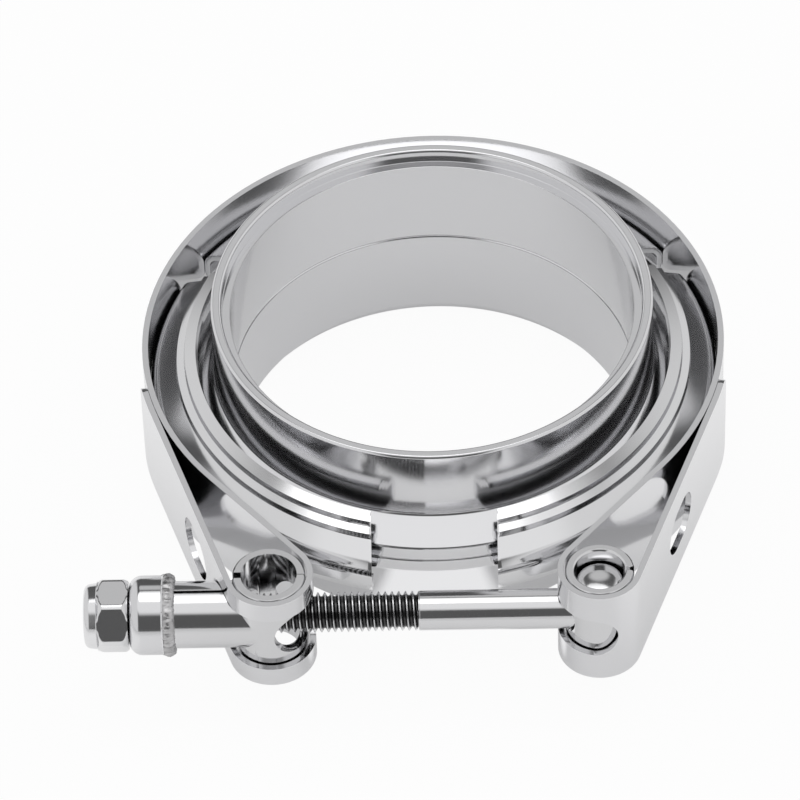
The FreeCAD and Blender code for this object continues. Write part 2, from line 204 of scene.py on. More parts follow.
class ClampStudio(bpy.types.PropertyGroup):
    """Camera, floor and light"""

    azimuth: FloatProperty(
        name="Azimuth", description="Camera's direction round the clamp",
        default=math.radians(1.5), subtype="ANGLE", unit="ROTATION")
    elevation: FloatProperty(
        name="Elevation", description="Camera's height above the horizon",
        default=math.radians(46.08), subtype="ANGLE", unit="ROTATION")
    roll: FloatProperty(
        name="Roll", description="Camera's turn about its own line of sight",
        default=math.radians(-2.11), subtype="ANGLE", unit="ROTATION")
    distance: FloatProperty(
        name="Distance", description="From the camera to the middle of the flanges",
        default=0.9233, unit="LENGTH", subtype="DISTANCE")
    lens: FloatProperty(
        name="Lens", description="Focal length for a 36 mm wide sensor, in millimetres",
        default=270.0)
    aim_right: FloatProperty(
        name="Aim right", description="How far the aim lies right of the flanges' middle",
        default=-5.22 * MM, unit="LENGTH", subtype="DISTANCE")
    aim_up: FloatProperty(
        name="Aim up", description="How far the aim lies above the flanges' middle",
        default=-3.69 * MM, unit="LENGTH", subtype="DISTANCE")
    floor: FloatVectorProperty(
        name="Floor", description="Colour of the floor",
        default=(0.93, 0.93, 0.93), subtype="COLOR", min=0, max=1)
    camera_glow: FloatProperty(
        name="Floor white", description="How far the floor is lifted to white for the eye",
        default=0.95, min=0, max=1)
    middle_glow: FloatProperty(
        name="Middle glow", description="How far gloss sees the floor near the middle as white",
        default=0.33, min=0, max=1)
    side_glow: FloatProperty(
        name="Side glow", description="How far gloss sees the floor at both sides as white",
        default=0.80, min=0, max=1)
    middle_floor: FloatProperty(
        name="Middle floor", description="Half width of the floor's dimmer middle",
        default=32 * MM, unit="LENGTH", subtype="DISTANCE")
    side_floor: FloatProperty(
        name="Side floor", description="Distance from the middle where the floor is brightest",
        default=62 * MM, unit="LENGTH", subtype="DISTANCE")
    near_floor: FloatProperty(
        name="Near floor", description="Distance from the axis out to which gloss sees it bright",
        default=95 * MM, unit="LENGTH", subtype="DISTANCE")
    far_floor: FloatProperty(
        name="Far floor", description="Distance from the axis where gloss sees the floor dim",
        default=210 * MM, unit="LENGTH", subtype="DISTANCE")
    under_floor: FloatProperty(
        name="Floor under the clamp", description="Radius of the floor that the lower neck mirrors",
        default=42 * MM, unit="LENGTH", subtype="DISTANCE")
    room_level: FloatProperty(name="Room", description="Light from the dim room", default=0.11)
    ceiling_level: FloatProperty(
        name="Ceiling light", description="Light from the ceiling's middle", default=0.92)
    shelf_level: FloatProperty(
        name="Shelf light", description="Light from the pale shelf behind", default=0.62)
    side_level: FloatProperty(
        name="Side light", description="Light from the pale screens on both sides", default=0.78)
    shelf_towards: FloatVectorProperty(
        name="Shelf", description="Direction of the pale shelf behind",
        default=(0.0, 0.71, 0.70), subtype="DIRECTION")
    ceiling_towards: FloatVectorProperty(
        name="Ceiling", description="Direction of the middle of the bright ceiling",
        default=(0.0, -0.14, 0.99), subtype="DIRECTION")


class Nodes:
    """Short calls for building a node tree."""

    def __init__(self, tree):
        self.tree = tree

    def add(self, kind, **values):
        node = self.tree.nodes.new(kind)
        for key, value in values.items():
            setattr(node, key, value)
        return node

    def link(self, source, target):
        self.tree.links.new(source, target)

    def math(self, operation, first, second=None):
        node = self.add("ShaderNodeMath", operation=operation)
        for socket, value in zip(node.inputs, (first, second)):
            if isinstance(value, (int, float)):
                socket.default_value = value
            elif value is not None:
                self.link(value, socket)
        return node.outputs[0]

    def mapped(self, value, start, end, low, high, interpolation="LINEAR"):
        node = self.add("ShaderNodeMapRange", interpolation_type=interpolation)
        node.inputs["From Min"].default_value = start
        node.inputs["From Max"].default_value = end
        node.inputs["To Min"].default_value = low
        node.inputs["To Max"].default_value = high
        self.link(value, node.inputs["Value"])
        return node.outputs["Result"]

    def faded(self, value, start, end, low, high):
        """Goes smoothly from low to high while a value goes from start to end."""
        return self.mapped(value, start, end, low, high, "SMOOTHSTEP")

    def spread(self, value, low, high):
        """Stretches the middle of a noise's range over low to high."""
        return self.mapped(value, 0.3, 0.7, low, high)

    def noise(self, vector, scale, detail=2.0):
        node = self.add("ShaderNodeTexNoise")
        node.inputs["Scale"].default_value = scale
        node.inputs["Detail"].default_value = detail
        self.link(vector, node.inputs["Vector"])
        return node.outputs["Fac"]

    def bump(self, height, distance):
        node = self.add("ShaderNodeBump")
        node.inputs["Strength"].default_value = 1.0
        node.inputs["Distance"].default_value = distance
        self.link(height, node.inputs["Height"])
        return node.outputs["Normal"]

    def blended(self, factor, first, second):
        """A colour between two others."""
        mix = self.add("ShaderNodeMix", data_type="RGBA")
        mix.inputs["A"].default_value = [*first, 1]
        mix.inputs["B"].default_value = [*second, 1]
        self.link(factor, mix.inputs["Factor"])
        return mix.outputs["Result"]

    def stretched(self, stretch, centre=(0, 0, 0)):
        """Object coordinates about a centre, multiplied by a stretch on each axis."""
        coordinates = self.add("ShaderNodeTexCoord")
        mapping = self.add("ShaderNodeMapping", vector_type="POINT")
        mapping.inputs["Scale"].default_value = stretch
        place = [-c * s for c, s in zip(centre, stretch)]
        mapping.inputs["Location"].default_value = place
        self.link(coordinates.outputs["Object"], mapping.inputs["Vector"])
        return mapping.outputs["Vector"]

    def parts_of(self, vector):
        parts = self.add("ShaderNodeSeparateXYZ")
        self.link(vector, parts.inputs[0])
        return parts.outputs

    def radius(self, parts, across):
        """Distance from an axis, from the two parts of a place that lie across it."""
        squares = [self.math("MULTIPLY", parts[i], parts[i]) for i in across]
        return self.math("SQRT", self.math("ADD", *squares))

    def turning_lines(self, axis, centre, fine, along):
        """Coordinates that change with radius and with length along an axis, but not round it."""
        parts = self.parts_of(self.stretched((1, 1, 1), centre))
        radius = self.radius(parts, [i for i in range(3) if i != axis])
        joined = self.add("ShaderNodeCombineXYZ")
        self.link(self.math("MULTIPLY", radius, fine), joined.inputs[0])
        self.link(self.math("MULTIPLY", parts[axis], along), joined.inputs[1])
        return joined.outputs[0]


class Finish(Nodes):
    """A new material's node tree, with its shader and output at hand."""

    def __init__(self, name):
        self.material = bpy.data.materials.new(name)
        self.material.use_nodes = True
        super().__init__(self.material.node_tree)
        self.shader = self.tree.nodes["Principled BSDF"]
        self.output = self.tree.nodes["Material Output"]


def steel(name, colour, grain, grain_depth, rough, spread, cloud_scale=70.0, stain=0.93,
          metallic=1.0):
    """Polished steel: soft clouds in tint and gloss, and a fine grain in the given coordinates."""
    nodes = Finish(name)
    cloud = nodes.noise(nodes.stretched((1, 1, 1)), cloud_scale, 3.0)
    tint = nodes.blended(nodes.spread(cloud, 0, 1), [stain * c for c in colour], colour)
    nodes.link(tint, nodes.shader.inputs["Base Color"])
    nodes.shader.inputs["Metallic"].default_value = metallic
    lines = nodes.noise(grain(nodes), 1.0, 4.0)
    clouded = nodes.spread(cloud, rough - spread, rough + spread)
    gloss = nodes.math("ADD", clouded, nodes.spread(lines, -0.02, 0.03))
    nodes.link(gloss, nodes.shader.inputs["Roughness"])
    nodes.link(nodes.bump(lines, grain_depth), nodes.shader.inputs["Normal"])
    return nodes.material


def turned_grain(axis, centre, fine, along):
    """Grain that runs round an axis, as a lathe or a polishing wheel leaves it."""
    return lambda nodes: nodes.turning_lines(axis, centre, fine, along)


def rolled_grain(stretch):
    """Grain drawn out along one direction, or even in all of them."""
    return lambda nodes: nodes.stretched(stretch)


def material_of(key):
    """The shared metal of a kind of piece, made the first time it is asked for."""
    if key in bpy.data.materials:
        return bpy.data.materials[key]
    finish = bpy.context.scene.clamp_finish
    round_tube = turned_grain(2, (0, 0, 0), 2500, 2500)
    makers = {
        "flange_steel": lambda: steel(
            key, finish.flange, round_tube, 0.3e-6, rough=0.15, spread=0.03, metallic=0.84),
        "retainer_steel": lambda: steel(
            key, finish.sheet, round_tube, 0.4e-6, rough=0.18, spread=0.04, metallic=0.93),
        "strap_steel": lambda: steel(
            key, finish.sheet, rolled_grain((160, 160, 5200)), 1.6e-6, rough=0.20, spread=0.04),
        "trunnion_steel": lambda: steel(
            key, finish.pressed, rolled_grain((900, 900, 900)), 5e-6, rough=0.38, spread=0.08,
            cloud_scale=180.0, stain=0.72),
        "cup_steel": lambda: steel(
            key, finish.pressed, turned_grain(0, BOLT_LINE, 1500, 2500), 3e-6, rough=0.32,
            spread=0.07, cloud_scale=180.0, stain=0.78),
        "bolt_steel": lambda: steel(
            key, finish.bolt, turned_grain(0, BOLT_LINE, 3000, 5000), 2e-6, rough=0.16,
            spread=0.04, cloud_scale=120.0),
        "nut_steel": lambda: steel(
            key, finish.bolt, rolled_grain((1500, 1500, 1500)), 2.5e-6, rough=0.15,
            spread=0.04, cloud_scale=200.0),
        "bead_steel": lambda: steel(
            key, finish.pressed, rolled_grain((1800, 1800, 1800)), 3.5e-5, rough=0.34,
            spread=0.08, cloud_scale=500.0, stain=0.6),
        "thread_steel": thread_steel,
        "nylon": nylon,
    }
    return makers[key]()


def thread_steel():
    """Rolled thread: full colour on the crests and the end, and painted shade that darkens it to a
    tenth in the thread's roots.
    """
    nodes = Finish("thread_steel")
    colour = bpy.context.scene.clamp_finish.bolt
    sizes = bpy.context.scene.clamp_sizes
    radius = nodes.radius(nodes.parts_of(nodes.stretched((1, 1, 1), BOLT_LINE)), (1, 2))
    root = sizes.thread_crest - sizes.thread_depth
    from_root = nodes.math("ABSOLUTE", nodes.math("SUBTRACT", radius, root))
    # painted shade: the colour falls to a tenth of itself towards the thread's roots, where shade
    # lies in the grooves
    out_of_root_shade = nodes.faded(from_root, 0.25 * sizes.thread_depth, 0.9 * sizes.thread_depth, 0.0, 1.0)
    tint = nodes.blended(out_of_root_shade, [0.10 * c for c in colour], colour)
    nodes.link(tint, nodes.shader.inputs["Base Color"])
    nodes.shader.inputs["Metallic"].default_value = 1.0
    cloud = nodes.noise(nodes.stretched((1, 1, 1)), 400.0, 3.0)
    nodes.link(nodes.spread(cloud, 0.16, 0.30), nodes.shader.inputs["Roughness"])
    return nodes.material


def nylon():
    """Waxy natural nylon."""
    nodes = Finish("nylon")
    colour = bpy.context.scene.clamp_finish.nylon
    cloud = nodes.noise(nodes.stretched((1, 1, 1)), 900.0, 2.0)
    tint = nodes.blended(cloud, [0.85 * c for c in colour], colour)
    nodes.link(tint, nodes.shader.inputs["Base Color"])
    nodes.shader.inputs["Roughness"].default_value = 0.45
    nodes.link(nodes.bump(cloud, 1.5e-5), nodes.shader.inputs["Normal"])
    return nodes.material


def cad_copy(node):
    """A bmesh of a CAD node with its loose triangles merged and flat faces joined up."""
    made = bmesh.new()
    made.from_mesh(frame["nodes"][node].data)
    bmesh.ops.remove_doubles(made, verts=made.verts, dist=SAME_PLACE)
    bmesh.ops.dissolve_limit(
        made, angle_limit=math.radians(0.4), use_dissolve_boundaries=False,
        verts=made.verts, edges=made.edges)
    return made


def sharp_edges(made, angle):
    """Edges between two faces that turn by more than an angle in degrees."""
    limit = math.radians(angle)
    return [edge for edge in made.edges if edge.is_manifold and edge.calc_face_angle(0) > limit]


def rounded(made, edges, offset, segments):
    """Rounds the given edges of a bmesh."""
    bmesh.ops.bevel(
        made, geom=edges, offset=offset, offset_type="OFFSET", segments=segments,
        profile=0.5, affect="EDGES", clamp_overlap=True, material=-1)
    return made


def softened(made, width, angle=32.0, segments=2):
    """Rounds every sharp edge of a bmesh a little."""
    return rounded(made, sharp_edges(made, angle), width, segments)


def all_of(made):
    return made.verts[:] + made.edges[:] + made.faces[:]


def cut_off(made, place, facing):
    """Removes what lies past a plane on its facing side, and closes the cut."""
    cut = bmesh.ops.bisect_plane(
        made, geom=all_of(made), dist=SAME_PLACE, plane_co=place, plane_no=facing, clear_outer=True)
    rim = [one for one in cut["geom_cut"] if isinstance(one, bmesh.types.BMEdge)]
    bmesh.ops.holes_fill(made, edges=rim, sides=0)
    return made


def shown(made, name, finish, smooth_angle=32.0):
    """Turns a bmesh into an object with a finish, smooth apart from its sharp edges."""
    for face in made.faces:
        face.smooth = True
    limit = math.radians(smooth_angle)
    for edge in made.edges:
        edge.smooth = not edge.is_manifold or edge.calc_face_angle(0) < limit
    mesh = bpy.data.meshes.new(name)
    made.to_mesh(mesh)
    made.free()
    mesh.materials.append(material_of(finish))
    piece = bpy.data.objects.new(name, mesh)
    bpy.context.scene.collection.objects.link(piece)
    even = piece.modifiers.new("even_normals", "WEIGHTED_NORMAL")
    even.keep_sharp = True
    return piece


def seated(piece, body, slot, *nodes):
    """Hangs a piece on its body, in place of the CAD nodes it stands for; slot is not used."""
    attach(piece, body)
    if nodes:
        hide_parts(*nodes)
    return piece


def dressed(node, name, body, finish, width):
    """A CAD node shown as a softened copy of itself."""
    made = softened(cad_copy(node), width)
    return seated(shown(made, name, finish), body, finish, node)


def turned_shape(outline, axis, centre, steps):
    """A closed bmesh spun from an outline of (along, radius) points about an axis."""
    made = bmesh.new()
    side = UP if axis.z == 0 else ALONG
    corners = [made.verts.new(centre + axis * a + side * r) for a, r in outline]
    ring = [made.edges.new(pair) for pair in zip(corners, corners[1:])]
    bmesh.ops.spin(
        made, geom=corners + ring, cent=centre, axis=axis, dvec=(0, 0, 0),
        angle=FULL_TURN, steps=steps, use_merge=True)
    bmesh.ops.remove_doubles(made, verts=made.verts, dist=SAME_PLACE)
    bmesh.ops.recalc_face_normals(made, faces=made.faces)
    return made


def section_of(node):
    """The outline in which the half plane from the tube's axis to +X cuts a turned CAD node."""
    made = bmesh.new()
    made.from_mesh(frame["nodes"][node].data)
    bmesh.ops.remove_doubles(made, verts=made.verts, dist=SAME_PLACE)
    bmesh.ops.bisect_plane(
        made, geom=all_of(made), dist=1e-6, plane_co=(0, 0, 0), plane_no=(0, 1, 0),
        clear_inner=True, clear_outer=True)
    behind = [vert for vert in made.verts if vert.co.x < 0]
    bmesh.ops.delete(made, geom=behind, context="VERTS")
    return made


def spun(made, start, span, steps):
    """Turns a flat outline to a start azimuth and spins it round the tube's axis."""
    bmesh.ops.rotate(made, verts=made.verts, cent=(0, 0, 0), matrix=Matrix.Rotation(start, 3, "Z"))
    bmesh.ops.spin(
        made, geom=made.verts[:] + made.edges[:], cent=(0, 0, 0), axis=UP, dvec=(0, 0, 0),
        angle=span, steps=steps, use_merge=span == FULL_TURN)
    bmesh.ops.remove_doubles(made, verts=made.verts, dist=SAME_PLACE)
    bmesh.ops.recalc_face_normals(made, faces=made.faces)
    return made


def build_flanges():
    """Both flanges, spun afresh from their own section so that their faces run true."""
    sizes = bpy.context.scene.clamp_sizes
    for place in ("upper", "lower"):
        made = spun(section_of(f"{place}_flange"), 0, FULL_TURN, FLANGE_STEPS)
        rim = [edge for edge in sharp_edges(made, 50)
               if all(abs(vert.co.xy.length - RIM_RADIUS) < 1e-5 for vert in edge.verts)]
        rounded(made, rim, sizes.rim_round, 4)
        softened(made, sizes.turned_round, 24.0)
        piece = shown(made, f"{place}_weld_flange", "flange_steel")
        seated(piece, "root", "flange_steel", f"{place}_flange")


def retainer_side():
    """Outside of a retainer above the joint as (radius, height): lip, two low steps, flank."""
    return [(36.35 * MM, 7.55 * MM), (38.05 * MM, 7.05 * MM), (38.20 * MM, 6.10 * MM),
            (39.32 * MM, 5.70 * MM), (39.47 * MM, 4.75 * MM), (WEB_RADIUS, 2.49 * MM)]


def retainer_sheet(start, end):
    """A retainer's bent sheet between two azimuths."""
    sizes = bpy.context.scene.clamp_sizes
    side = retainer_side()
    outline = side + [(radius, -height) for radius, height in reversed(side)]
    made = bmesh.new()
    corners = [made.verts.new((radius, 0, CENTRE_HEIGHT + height)) for radius, height in outline]
    for pair in zip(corners, corners[1:]):
        made.edges.new(pair)
    spun(made, start, end - start, round((end - start) / RETAINER_STEP))
    web = [edge for edge in sharp_edges(made, 30)
           if all(vert.co.xy.length > WEB_RADIUS - 1e-5 for vert in edge.verts)]
    (inner, top), (outer, shoulder) = side[-2:]
    turn = math.pi / 2 - math.atan2(top - shoulder, outer - inner)
    rounded(made, web, sizes.web_bend * math.tan(turn / 2), 8)
    bmesh.ops.recalc_face_normals(made, faces=made.faces)
    bmesh.ops.solidify(made, geom=made.faces[:], thickness=sizes.sheet)
    bmesh.ops.recalc_face_normals(made, faces=made.faces)
    return made


def build_retainers():
    """The three retainers, each in place of its CAD node and between the same ends."""
    width = bpy.context.scene.clamp_sizes.edge_round
    bodies = {"back": "root", "left": "left_arm", "right": "right_arm"}
    back_start = math.acos(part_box("v_retainer_back")[1].x / WEB_RADIUS)
    front_low, front_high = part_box("v_retainer_right")
    side_end = math.asin(front_high.y / WEB_RADIUS)
    for place, body in bodies.items():
        if place == "back":
            made = retainer_sheet(back_start, math.pi - back_start)
        else:
            made = retainer_sheet(-math.pi / 2, side_end)
            cut_off(made, (front_low.x, 0, 0), (-1, 0, 0))
        if place == "left":
            bmesh.ops.scale(made, verts=made.verts, vec=(-1, 1, 1))
            bmesh.ops.recalc_face_normals(made, faces=made.faces)
        softened(made, width)
        piece = shown(made, f"{place}_retainer", "retainer_steel")
        seated(piece, body, "retainer_steel", f"v_retainer_{place}")


def bend_span(joint):
    """Start and end of the strap's bend at a side gap, from the back towards the bolt."""
    hinge = Vector(JOINTS[joint]["pos_m"])
    half_gap = HALF_BEND * hinge.xy.length
    forward = Vector((hinge.y, -hinge.x, 0)).normalized()
    if forward.y > 0:
        forward.negate()
    return hinge - forward * half_gap, hinge + forward * half_gap


def build_strap():
    """The strap in two halves that meet at the back."""
    for side, place in ((-1, "left"), (1, "right")):
        made = softened(cad_copy("band_strap"), bpy.context.scene.clamp_sizes.edge_round)
        cut_off(made, (0, 0, 0), (-side, 0, 0))
        piece = shown(made, f"{place}_strap_half", "strap_steel")
        start, end = bend_span(f"{place}_arm_close")
        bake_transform(piece)
    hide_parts("band_strap")
    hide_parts("band_strap")


def threaded(made, start, length, sizes):
    """Adds a helical thread about the bolt's line to a bmesh."""
    pitch = sizes.thread_pitch
    turns = round(length / pitch)
    crest = sizes.thread_crest
    root = crest - sizes.thread_depth
    profile = [(0, root), (0.14, root), (0.44, crest), (0.58, crest), (0.88, root), (1, root)]
    corners = [made.verts.new(BOLT_LINE + ALONG * (start + a * pitch) + UP * r)
               for a, r in profile]
    edges = [made.edges.new(pair) for pair in zip(corners, corners[1:])]
    bmesh.ops.spin(
        made, geom=corners + edges, cent=BOLT_LINE, axis=ALONG,
        dvec=ALONG * (pitch / THREAD_STEPS), angle=FULL_TURN * turns,
        steps=THREAD_STEPS * turns, use_merge=False)
    bmesh.ops.remove_doubles(made, verts=made.verts, dist=1e-6)


def pulled_in(vert, most):
    """Moves a point straight in towards the bolt's line until it is no further off than most."""
    out = vert.co - BOLT_LINE
    out.x = 0
    if out.length > most:
        vert.co -= out * (1 - most / out.length)


def bar_dome(shoulder, facing, height):
    """One end of the cross-bar, spun as a shallow dome on a short stub of the bar."""
    radius = BOLT_BOX[1].x - SLEEVE_X
    steps = 14
    outline = [(-BAR_STUB, 0), (-BAR_STUB, radius)]
    outline += [(height * math.sin(a) ** 0.8, radius * math.cos(a))
                for a in (math.pi / 2 * step / steps for step in range(steps))]
    outline.append((height, 0))
    return turned_shape(outline, UP * facing, Vector((SLEEVE_X, BOLT_Y, shoulder)), 96)


def build_bolt():
    """The T-bolt: rolled thread, shank with its cross-bar, and the bar's two domed ends."""
    sizes = bpy.context.scene.clamp_sizes
    low = BOLT_BOX[0].x
    thread_end = low + sizes.thread_length
    made = bmesh.new()
    threaded(made, low - sizes.thread_pitch, sizes.thread_length + sizes.thread_pitch, sizes)
    for end, facing in ((low, -1), (thread_end, 1)):
        cut_off(made, (end, 0, 0), (facing, 0, 0))
    for vert in made.verts:
        past = low + sizes.bolt_chamfer - vert.co.x
        if past > 0:
            pulled_in(vert, sizes.thread_crest - past)
    bmesh.ops.recalc_face_normals(made, faces=made.faces)
    thread = seated(shown(made, "bolt_thread", "thread_steel", 40.0), "bolt", "bolt_steel")
    body = softened(cad_copy("t_bolt"), sizes.edge_round, 25.0)
    shoulders = {facing: BOLT_BOX[facing > 0].z - facing * sizes.bar_dome for facing in (-1, 1)}
    for facing, shoulder in shoulders.items():
        cut_off(body, (0, 0, shoulder), (0, 0, facing))
    cut_off(body, (thread_end - SHANK_LAP, 0, 0), (-1, 0, 0))
    seated(shown(body, "bolt_shank_and_bar", "bolt_steel"), "bolt", "bolt_steel", "t_bolt")
    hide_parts("t_bolt")
    for (facing, shoulder), place in zip(shoulders.items(), ("lower", "upper")):
        dome = bar_dome(shoulder, facing, sizes.bar_dome)
        seated(shown(dome, f"{place}_bar_dome", "bolt_steel"), "bolt", "bolt_steel")


def build_trunnions():
    """The split sleeve on the cross-bar and the tee's two shells."""
    width = bpy.context.scene.clamp_sizes.edge_round
    dressed("bolt_sleeve", "split_sleeve", "bolt", "trunnion_steel", width)
    for place in ("front", "rear"):
        dressed(f"tee_{place}_shell", f"{place}_tee_shell", "tee", "trunnion_steel", width)


def build_cup():
    """The cup over the guide tube's end, and the rippled weld bead round its mouth."""
    sizes = bpy.context.scene.clamp_sizes
    low, high = CUP_BOX
    cup = cut_off(cad_copy("end_cup"), (high.x - CUP_CUT, 0, 0), (1, 0, 0))
    softened(cup, sizes.edge_round, 25.0)
    seated(shown(cup, "guide_cup", "cup_steel"), "tee", "cup_steel", "end_cup")
    radius = (high.z - low.z) / 2
    half = sizes.bead_half
    middle = high.x - half - BEAD_INSET
    steps = 14
    outline = [(middle + half * math.cos(a), radius - half * 0.55 + half * 0.60 * math.sin(a))
               for a in (FULL_TURN * step / steps for step in range(steps + 1))]
    made = turned_shape(outline, ALONG, BOLT_LINE, 264)
    for vert in made.verts:
        out = vert.co - BOLT_LINE
        out.x = 0
        angle = math.atan2(out.z, out.y)
        wave = math.cos(sizes.bead_ripples * angle + 2.5 * noise.noise(out * 300))
        lift = sizes.bead_ripple * 0.5 * (wave - 1)
        lift += sizes.bead_grain * (noise.noise(vert.co * 2600) - 0.35)
        vert.co += out.normalized() * lift
        vert.co.x = min(vert.co.x + sizes.bead_grain * noise.noise(vert.co * 1900), high.x)
    piece = shown(made, "cup_weld_bead", "bead_steel", 60.0)
    seated(piece, "tee", "cup_steel")


def hexagon_reach(angle, half_flats, corner_round):
    """Distance from the nut's axis to a hexagon with rounded corners; a flat faces up."""
    off_flat = (angle + math.pi / 6) % (math.pi / 3) - math.pi / 6
    off_corner = math.pi / 6 - abs(off_flat)
    deep = (half_flats - corner_round) / math.cos(math.pi / 6)
    tangent = math.atan2((half_flats - corner_round) * math.tan(math.pi / 6), half_flats)
    if off_corner > math.pi / 6 - tangent:
        return half_flats / math.cos(off_flat)
    return deep * math.cos(off_corner) + math.sqrt(
        corner_round ** 2 - (deep * math.sin(off_corner)) ** 2)


def build_nut():
    """The nut, turned as a chamfered blank with its domed collar and then cut to a hexagon."""
    sizes = bpy.context.scene.clamp_sizes
    low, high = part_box("lock_nut")
    flats = (high.z - low.z) / 2
    stand = flats / math.cos(math.pi / 6) - flats
    hex_start = low.x + sizes.collar_length
    chamfer = [(1.35 * stand * t, flats + stand * t ** 0.8)
               for t in (0.0, 0.2, 0.4, 0.6, 0.8, 1.0)]
    collar, turn, mouth = sizes.collar_radius, sizes.collar_round, sizes.collar_mouth
    outline = [(high.x, sizes.nut_bore), (high.x, flats - 0.2 * MM)]
    outline += [(high.x - fall, reach) for fall, reach in chamfer]
    outline += [(hex_start + fall, reach) for fall, reach in reversed(chamfer)]
    outline += [(hex_start, collar + 0.5 * MM), (hex_start - 0.12 * MM, collar + 0.12 * MM)]
    outline += [(low.x + turn * (1 - math.sin(a)), collar - turn * (1 - math.cos(a)))
                for a in (math.pi / 2 * step / 6 for step in range(7))]
    outline += [(low.x + 0.1 * MM, mouth), (low.x + 0.5 * MM, mouth - 0.1 * MM),
                (low.x + 1.6 * MM, sizes.nut_bore)]
    outline.append(outline[0])
    made = turned_shape(outline, ALONG, BOLT_LINE, 240)
    for vert in made.verts:
        if vert.co.x >= hex_start - 1e-6:
            out = vert.co - BOLT_LINE
            pulled_in(vert, hexagon_reach(math.atan2(out.y, out.z), flats, sizes.nut_round))
    seated(shown(made, "hex_lock_nut", "nut_steel", 40.0), "nut", "nut_steel", "lock_nut")
    dressed("nut_insert", "nylon_ring", "nut", "nylon", sizes.edge_round)


def plane(name, size, height):
    """A flat square at a height, with a half width of size."""
    made = bmesh.new()
    bmesh.ops.create_grid(made, x_segments=1, y_segments=1, size=size,
                          matrix=Matrix.Translation((0, 0, height)))
    mesh = bpy.data.meshes.new(name)
    made.to_mesh(mesh)
    made.free()
    piece = bpy.data.objects.new(name, mesh)
    bpy.context.scene.collection.objects.link(piece)
    return piece


def floor_finish(studio):
    """Matt pale floor: white to the eye with a soft shadow, and partly so in the metal."""
    nodes = Finish("studio_floor")
    nodes.shader.inputs["Base Color"].default_value = [*studio.floor, 1]
    nodes.shader.inputs["Roughness"].default_value = 0.9
    nodes.shader.inputs["Specular IOR Level"].default_value = 0.0
    glow = nodes.add("ShaderNodeEmission")
    glow.inputs["Strength"].default_value = 1.0
    place = nodes.parts_of(nodes.add("ShaderNodeTexCoord").outputs["Object"])
    aside = nodes.math("ABSOLUTE", place[0])
    radius = nodes.radius(place, (0, 1))
    across = nodes.faded(aside, studio.middle_floor, studio.side_floor,
                         studio.middle_glow, studio.side_glow)
    outwards = nodes.faded(radius, studio.near_floor, studio.far_floor, 1.0, FAR_GLOW)
    off_ring = nodes.math("ABSOLUTE", nodes.math("SUBTRACT", radius, studio.under_floor))
    under = nodes.math("MULTIPLY", nodes.faded(off_ring, *UNDER_RING, 1.0, 0.0),
                       nodes.faded(aside, *GAP_WIDTH, 1.0, 0.0))
    seen_floor = nodes.math("MAXIMUM", nodes.math("MULTIPLY", across, outwards), under)
    path = nodes.add("ShaderNodeLightPath")
    seen = nodes.math("MULTIPLY", path.outputs["Is Camera Ray"], studio.camera_glow)
    mirrored = nodes.math("MULTIPLY", path.outputs["Is Glossy Ray"], seen_floor)
    mix = nodes.add("ShaderNodeMixShader")
    nodes.link(nodes.math("ADD", seen, mirrored), mix.inputs[0])
    nodes.link(nodes.shader.outputs[0], mix.inputs[1])
    nodes.link(glow.outputs[0], mix.inputs[2])
    nodes.link(mix.outputs[0], nodes.output.inputs["Surface"])
    return nodes.material


def studio_world(studio):
    """White backdrop for the eye; for light and gloss, a dim room with a bright ceiling."""
    world = bpy.data.worlds.new("studio")
    bpy.context.scene.world = world
    world.use_nodes = True
    nodes = Nodes(world.node_tree)
    nodes.tree.nodes.clear()
    direction = nodes.add("ShaderNodeTexCoord").outputs["Generated"]
    # Each surface's direction, the cosines where it begins and is full, and its light
    surfaces = [(studio.ceiling_towards, 0.76, 0.92, studio.ceiling_level),
                (studio.shelf_towards, 0.975, 0.995, studio.shelf_level),
                (ALONG, 0.26, 0.45, studio.side_level)]
    level = studio.room_level
    for facing, begins, full, light in surfaces:
        towards = nodes.add("ShaderNodeVectorMath", operation="DOT_PRODUCT")
        towards.inputs[1].default_value = Vector(facing).normalized()
        nodes.link(direction, towards.inputs[0])
        either_side = nodes.math("ABSOLUTE", towards.outputs["Value"])
        level = nodes.math("MAXIMUM", level, nodes.faded(either_side, begins, full, 0.0, light))
    room = nodes.add("ShaderNodeBackground")
    room.inputs["Color"].default_value = (0.995, 0.995, 1, 1)
    nodes.link(level, room.inputs["Strength"])
    white = nodes.add("ShaderNodeBackground")
    white.inputs["Color"].default_value = (1, 1, 1, 1)
    path = nodes.add("ShaderNodeLightPath")
    seen = nodes.math(
        "MAXIMUM", path.outputs["Is Camera Ray"], path.outputs["Is Transmission Ray"])
    mix = nodes.add("ShaderNodeMixShader")
    nodes.link(seen, mix.inputs[0])
    nodes.link(room.outputs[0], mix.inputs[1])
    nodes.link(white.outputs[0], mix.inputs[2])
    output = nodes.add("ShaderNodeOutputWorld")
    nodes.link(mix.outputs[0], output.inputs["Surface"])


def soft_lamp(name, place, aim, size, power):
    """A round soft lamp that looks from a place towards an aim."""
    lamp = bpy.data.lights.new(name, "AREA")
    lamp.shape = "DISK"
    lamp.size = size
    lamp.energy = power
    holder = bpy.data.objects.new(name, lamp)
    holder.location = place
    holder.rotation_euler = (Vector(aim) - Vector(place)).to_track_quat("-Z", "Y").to_euler()
    bpy.context.scene.collection.objects.link(holder)


